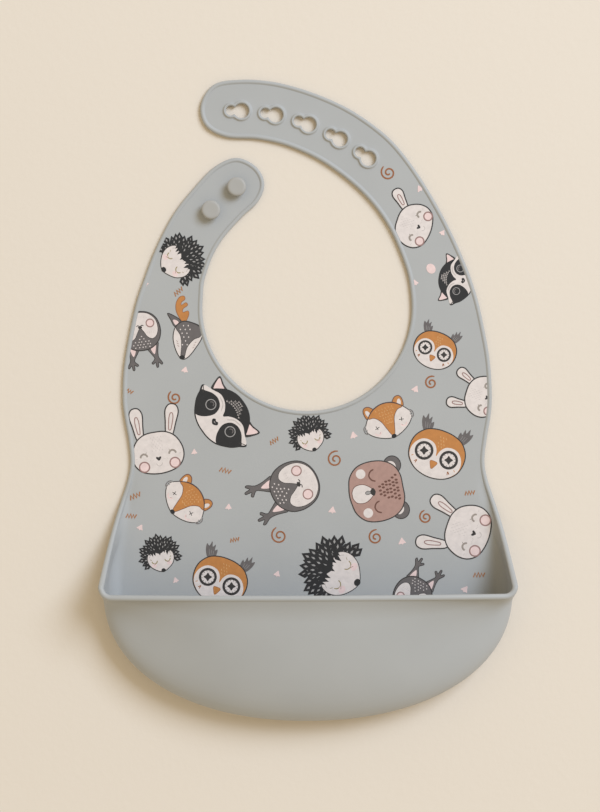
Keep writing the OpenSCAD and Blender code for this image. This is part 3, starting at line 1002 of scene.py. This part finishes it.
def owl(f):
    for s in (-1, 1):
        f.fill("grey", side_curve(s, [
            (7.4, 8.8), (6.7, 11.6), (7.2, 14.2), (8.3, 13.3), (8.9, 16.3), (10, 14.6),
            (11.2, 17.3), (11.8, 14.5), (13.4, 15.3), (12.8, 12), (10.4, 8.4),
        ], 3))
        for k in range(3):
            streak = [(s * (8.3 + 0.9 * k), 9.8 + 0.2 * k), (s * (8.7 + 1.3 * k), 12.8)]
            f.stroke("silver", streak, 0.22, False)
    f.edged("ochre", even_curve(
        [(0, 11.7), (5, 11.2), (9.8, 9.2), (13.4, 4.6), (14.2, -1), (12.4, -6.6), (7.4, -10.8), (0, -12.4)]
    ), 0.55)
    f.fill("cream", even_curve([
        (0, -1.4), (0.9, 1.6), (3, 4.2), (6.4, 5.1), (9.8, 4.2), (12.4, 1.2), (13.3, -2.6),
        (12, -6.5), (7.3, -10.6), (0, -12.15),
    ]))
    for s in (-1, 1):
        eye = (s * 6.6, -0.9)
        f.fill("line", oval(*eye, 4.7, count=32))
        f.fill("cream", oval(*eye, 3.4, count=28))
        for k in range(12):
            p = heading(30 * k)
            f.stroke("line", [p * 2.7 + eye, p * 3.6 + eye], 0.36, False)
        star = [(1.35 if k % 2 else 2.25) * heading(45 * k + 20) + eye for k in range(8)]
        f.fill("line", closed_curve(star, 3))
        f.stroke("rust", [(s * 9.4, -7.6), (s * 8.3, -6.5), (s * 8.6, -8.2)], 0.45)
        f.dash("ochre", s * 11.6, -5.4, s * 10.8, -4.7, 0.6)
    for row in range(4):
        for k in range(3 - row % 2):
            x = -1.6 + 1.5 * k + 0.7 * (row % 2)
            f.dash("straw", x, 8.8 - 1.6 * row, x + 0.5, 8.0 - 1.6 * row, 0.36)
    beak = [(-1.9, -4.4), (0, -4.0), (1.9, -4.4), (1.1, -6.6), (0, -8.1), (-1.1, -6.6)]
    f.edged("ochre", closed_curve(beak, 3), 0.25, "rust")


def raccoon(f):
    for s in (-1, 1):
        f.fill("line", side_curve(s, [(8.4, 10.6), (12.6, 11), (17.2, 12), (16.8, 8.6), (14.2, 4.4)], 3))
        f.fill("blush", side_curve(s, [(10.6, 9.6), (13.4, 10.4), (16.6, 11.2), (15.6, 8), (13.6, 5.6)], 3))
    f.edged("black", even_curve([
        (0, 14), (5, 13.4), (9.6, 11), (13, 7), (15.2, 3.8), (18.8, 2.4), (16.6, -1.2),
        (14.6, -4.6), (9.6, -9), (4.8, -10.8), (0, -11.2),
    ]), 0.4, "black")
    f.fill("cream", even_curve([
        (0, 1.6), (1.8, 3.9), (5, 6.2), (9.4, 7), (13.8, 5), (18.2, 2.8), (16, -0.8),
        (14.2, -4.4), (9.4, -8.6), (4.8, -10.4), (0, -10.8),
    ]))
    for s in (-1, 1):
        f.fill("black", side_curve(s, [
            (3.4, -0.4), (5, 3.1), (8.6, 4.7), (12.4, 4), (15.4, 2), (17.3, 0.3), (15.9, -3.2),
            (13.5, -6), (9.6, -8.9), (6.6, -7.5), (4.2, -4),
        ]))
        f.stroke("shade", [(s * 2.6, 2.2), (s * 5, 5), (s * 9, 6)], 0.55)
        f.fill("silver", oval(s * 8.3, 0, 2.75))
        f.fill("black", oval(s * 8.3, 0, 2.3))
        f.stroke("grey", lid(s * 8.3, 0.4, 1.2, False), 0.5)
        f.stroke("line", [(s * 18.4, 2.6), (s * 15.4, 0.4), (s * 17, 1.0)], 0.4)
    for row in range(4):
        for k in range(9 - 2 * row):
            x = (k - (8 - 2 * row) / 2) * 1.25
            y = 9.2 + 1.15 * row - 0.05 * x * x
            f.stroke("shade", [(x - 0.35, y), (x + 0.05, y - 0.7), (x + 0.45, y)], 0.24)
    nose = [(-2, -3.4), (-1.1, -2.2), (0, -2.7), (1.1, -2.2), (2, -3.4), (0.7, -4.8), (-0.7, -4.8)]
    f.fill("black", closed_curve(nose, 3))
    f.dash("cream", -0.5, -3.6, 0.5, -3.6, 0.3)


def tufted(f):
    """A sleeping round head with long branching ear tufts."""
    for s in (-1, 1):
        f.edged("grey", side_curve(s, [
            (2.4, 10), (4.6, 14.6), (6.4, 18), (4.2, 20.6), (5.2, 21.4), (6.6, 20.4), (6.9, 23.4),
            (8, 23.4), (8.5, 20.6), (10.2, 22.2), (10.8, 21), (8.9, 17.6), (8.9, 13.4), (9.6, 7.4),
        ], 3), 0.35)
        f.fill("blush", side_curve(s, [(4.6, 11.2), (6.4, 15.2), (7.6, 13), (8.2, 9.4), (6.2, 9.6)], 3))
    f.edged("grey", even_curve(
        [(0, 12), (6, 10.8), (10.8, 6.4), (12.4, 0), (10.8, -6.8), (6.4, -11), (0, -12.4)]
    ), 0.5)
    f.edged("cream", even_curve([
        (0, -1.8), (2, 0.7), (3.9, 3.9), (6.8, 5.4), (9.7, 3.5), (11, -1), (10, -6.4), (5.9, -10.5),
        (0, -11.8),
    ]), 0.3)
    crown = np.array(mirrored([(0, 0), (3, 5.6), (7, 7.4), (9.4, 6), (6, 10), (0, 11.2)]))
    for row in range(5):
        for k in range(7 - row % 2):
            x, y = (k - 3 + 0.5 * (row % 2)) * 2.1, 10 - 1.7 * row
            if wound(np.array([[x, y]]), crown)[0]:
                f.fill("cream", oval(x + 0.3 * math.sin(4 * k + row), y, 0.42, 0.34, count=7))
    for s in (-1, 1):
        f.edged("blush", oval(s * 6.5, -4.4, 2.4), 0.6, "rose")
        for k in range(4):
            hairs = (
                (4 + 1.2 * k, 1.6 + 0.5 * (k % 2), 4.3 + 1.2 * k, 0.8),
                (1.6 + 0.9 * k, -3.2 - 0.6 * (k % 2), 2.1 + 0.9 * k, -3.6),
                (1.2 + 1.6 * k, -8.8 + 0.5 * k, 1.8 + 1.6 * k, -9.2 + 0.5 * k),
            )
            for x1, y1, x2, y2 in hairs:
                f.dash("shade", s * x1, y1, s * x2, y2, 0.22)
    for s in (-1, 1):
        f.stroke("line", [(0, -2.8), (s * 1.2, -3.7), (s * 2.3, -3.2)], 0.45)
    f.fill("line", oval(0, -2.4, 1.3, 0.9))


def deer(f):
    """A head seen from three quarters, with one antler and one ear in view."""
    f.edged("ochre", closed_curve([
        (-2.2, 9), (-4, 11.4), (-5.3, 14.6), (-5.2, 18.2), (-3.6, 21), (-1.4, 21.6), (-0.8, 20),
        (-2.5, 18.6), (-2.6, 17), (-0.4, 18.3), (0.5, 17), (-1.8, 15.2), (-1.8, 13.4), (0.6, 14.2),
        (1.1, 12.4), (-0.4, 9),
    ], 3), 0.3, "rust")
    ear = [(-6, 6.4), (-7.8, 9.6), (-9.6, 13), (-6.4, 11.8), (-3.2, 9.6), (-3, 7)]
    f.edged("grey", closed_curve(ear, 3), 0.4)
    f.fill("blush", closed_curve([(-5.6, 7.2), (-6.9, 9.6), (-5.3, 9.6), (-4, 8.4)], 3))
    f.edged("cream", closed_curve([
        (-2, 9), (2.4, 8.4), (7, 6), (7.6, 1), (4.4, -4.4), (1, -8.6), (-1.8, -10), (-3.8, -8.6),
        (-5.8, -4.4), (-6.8, 1), (-5.6, 6.2),
    ]), 0.45)
    f.edged("grey", closed_curve([
        (-2, 8.8), (2.4, 8.2), (6.8, 5.8), (7, 1.6), (3.4, -0.2), (0.2, -4), (-1.2, -8.6), (-3, -9),
        (-2.6, -3), (-3.2, 2), (-5.4, 6),
    ]), 0.3)
    for row in range(6):
        for k in range(2 + row % 2):
            x = (k - 0.5 * (1 + row % 2)) * 2.4 - 0.4 - 0.35 * row
            f.fill("cream", oval(x, 6.8 - 1.9 * row, 0.3, 0.42, count=6))
    for k in range(3):
        f.dash("rose", -5.2 + 0.3 * k, -0.6 - 1.2 * k, -4.4 + 0.3 * k, -1.2 - 1.2 * k, 0.4)
        f.dash("rose", 2.8 + 0.6 * k, -4.4 + 1.3 * k, 3.6 + 0.6 * k, -4 + 1.3 * k, 0.4)
    f.fill("black", oval(-2.3, -9, 1.4, 1.05))


def bear(f):
    for s in (-1, 1):
        f.edged("grey", oval(s * 11.4, 10.4, 4.5, 4.3), 0.45)
        f.fill("cream", oval(s * 10.6, 9.4, 2.9, 2.7))
    f.edged("cocoa", even_curve([
        (0, 13.6), (6, 13.4), (11, 11), (14.2, 6), (15.1, -1), (13.6, -7.4), (9.2, -11.6), (4, -13),
        (0, -13.4),
    ]), 0.55)
    muzzle = [(0, -1.2), (2.4, -2.4), (4.6, -6), (4.2, -10), (1.8, -11.8), (0, -12)]
    f.edged("cream", even_curve(muzzle), 0.35, "umber")
    for s in (-1, 1):
        f.stroke("umber", lid(s * 8, 0.8, 3.0), 0.75)
        f.fill("cream", oval(s * 9.9, -5.9, 2.4))
    for row in range(6):
        for k in range(3 + row - row // 3):
            x = (k - (2 + row - row // 3) / 2) * 2.0 + 0.25 * math.sin(3 * k + row)
            f.fill("umber", oval(x, 2.2 + 1.75 * row, 0.58, 0.82, 3 * x, 8))
    f.fill("line", closed_curve([(-2, -1.2), (0, -0.2), (2, -1.2), (1, -2.6), (0, -3), (-1, -2.6)], 3))
    mouth = [(0, -2.6), (0.9, -3.8), (0.5, -5.2), (-0.5, -5.2), (-0.9, -3.8)]
    f.edged("silver", closed_curve(mouth, 3), 0.25)


def spiral(f):
    a = np.radians(np.linspace(95, 655, 26))
    r = 3.5 - 2.9 * np.linspace(0, 1, 26) ** 0.85
    f.stroke("rust", np.stack([r * np.cos(a), r * np.sin(a)], 1), 0.78, False)


def squiggle(f):
    f.stroke("clay", [
        (-2.2, -1.1), (-1.7, 0.7), (-0.9, -0.9), (-0.4, 1.0), (0.4, -0.8), (0.9, 0.9), (1.6, -0.5), (2.2, 1.2)
    ], 0.95, False)


def drop(f):
    """A small uneven dab of ink, near a triangle."""
    f.fill("blush", closed_curve([
        (-2, -1.2), (-0.5, -1.2), (0.2, -1.8), (0.8, -1.2), (2, -1.1), (1.1, 0.5), (0.3, 2), (-0.9, 0.6)
    ], 3))


def spot(f):
    """A round dab of ink."""
    f.fill("blush", oval(0, 0, 2.2, 2.6))


# Each figure: its drawing, where it lies, its place, turn and size
FIGURES = [
    (hedgehog, "stud_end", (-64.2, 69.4), -60, 1.02),
    (tufted, "stud_strap", (-83, 34.2), 188, 0.8),
    (deer, "stud_strap", (-60, 30.2), 0, 1.0),
    (rabbit, "waist", (-74.6, -26.4), 9, 1.0),
    (raccoon, "waist", (-43.3, -9.2), -55, 1.0),
    (hedgehog, "waist", (1.4, -18.6), 17, 0.82),
    (fox, "waist", (39.6, -8.7), 21, 1.0),
    (owl, "waist", (64.7, -27.3), -22, 1.0),
    (rabbit, "waist", (87.4, 1.2), 72, 0.8),
    (fox, "apron", (-59.3, -49.3), -51, 1.0),
    (tufted, "waist", (-6.6, -43.4), 116, 1.0),
    (bear, "waist", (34.2, -46), -79, 1.0),
    (rabbit, "pocket", (80, -66.2), 71, 1.05),
    (hedgehog, "pocket", (-73.5, -78.4), 12, 0.82),
    (owl, "apron", (-43.7, -90), -22, 0.96),
    (hedgehog, "apron", (14.6, -86.4), 62, 1.37),
    (tufted, "apron", (52.3, -98), -32, 0.77),
    (owl, "hole_strap", (63.9, 24.5), -22, 0.76),
    (rabbit, "hole_middle", (53.6, 86.6), 71, 0.85),
    (raccoon, "hole_strap", (75.6, 59.4), 80, 0.69),
]
# The ears of some rabbits in the list, by their place in it
EARS = {
    8: (((-7.7, -9), (6.4, 23)), 12.6),
    12: (((-9.2, -12), (5.4, 18)), 14.4),
    18: (((-7.4, -44), (7.6, 43)), 13),
}
MARKS = [
    (spot, 1.0, [(62, 65, "hole_strap")]),
    (spiral, 1.15, [
        (41, 113, "hole_middle"), (62, 8, "waist"), (-66, 1, "waist"), (14, -30, "waist"),
        (-14, -68, "apron"), (34, -69, "apron"), (59, -59, "apron"),
    ]),
    (drop, 0.86, [
        (56.5, 105, "hole_middle"), (67.8, 83, "hole_middle"), (54, 58, "hole_strap"),
        (54, 5, "waist"), (23, -18, "waist"), (-61, 15, "waist"), (-56.5, -26, "waist"),
        (-39.5, -53.5, "apron"), (12.3, -55.3, "apron"), (47, -71, "apron"), (-15.3, -87, "apron"),
        (-66, -90, "pocket"), (-83.5, -63.6, "pocket"), (-81, 58, "stud_strap"), (78.4, -95, "pocket"),
    ]),
    (squiggle, 1.14, [
        (-64, 54, "stud_strap"), (-89.2, 4.5, "waist"), (-16.5, -20.7, "waist"), (-41, -35.5, "waist"),
        (-86, -48, "apron"), (-88, -58, "pocket"), (-36.4, -70, "apron"), (81, -47, "apron"),
        (85.5, -88, "pocket"),
    ]),
]
for k, (draw, where, at, turn, size) in enumerate(FIGURES):
    figure = Figure(at, turn, size)
    draw(figure, *EARS.get(k, ()))
    lay(f"print_{draw.__name__}_{k + 1}", figure, where)
for draw, size, places in MARKS:
    for k, (x, y, where) in enumerate(places):
        figure = Figure((x, y), 40 * math.sin(3 * k + 1), size * (1 + 0.12 * math.sin(5 * k)))
        draw(figure)
        lay(f"print_{draw.__name__}_mark_{k + 1}", figure, where)


# ---- floor, light and camera ----


def paper(name):
    """Plain warm paper with a fibrous grain."""
    m, bsdf = new_material(name)
    grainy(m.node_tree, bsdf, 260, 6, 0.25, 0.0004)
    settle(bsdf, Base_Color=(0.80, 0.71, 0.60, 1), Roughness=0.9, Specular_IOR_Level=0.2)
    return m


floor_mesh = bpy.data.meshes.new("floor")
FLOOR = 12.0
corners = [(-FLOOR, -FLOOR, 0), (FLOOR, -FLOOR, 0), (FLOOR, FLOOR, 0), (-FLOOR, FLOOR, 0)]
floor_mesh.from_pydata(corners, [], [(0, 1, 2, 3)])
floor_piece = add("floor", floor_mesh, paper("paper"))
floor_piece.location.z = -0.0003


def area(name, at, target, power, size, colour):
    """A square lamp that faces a target."""
    light = bpy.data.lights.new(name, "AREA")
    light.energy = power
    light.size = size
    light.color = colour
    o = show(name, light)
    o.location = at
    o.rotation_euler = (Vector(target) - Vector(at)).to_track_quat("-Z", "Y").to_euler()


area("window", (1.85, 1.55, 2.6), (0, 0, 0), 106, 1.8, (0.66, 0.79, 1.0))
world = bpy.data.worlds.new("room")
bpy.context.scene.world = world
world.use_nodes = True
settle(world.node_tree.nodes["Background"], Color=(1.0, 0.875, 0.66, 1), Strength=0.62)

# Metres: the camera's height, and the height of its view where the bib lies
CAMERA_H = 0.95
VIEW_H = 0.406
SENSOR = 36
camera_data = bpy.data.cameras.new("camera")
camera_data.sensor_width = SENSOR
camera_data.sensor_fit = "VERTICAL"
camera_data.sensor_height = SENSOR
camera_data.lens = SENSOR * CAMERA_H / VIEW_H
camera = show("camera", camera_data)
camera.location = (-0.0036, -0.0033, CAMERA_H)
camera.rotation_euler = (0, 0, math.radians(-0.2))
bpy.context.scene.camera = camera
bpy.context.scene.view_settings.view_transform = "Standard"
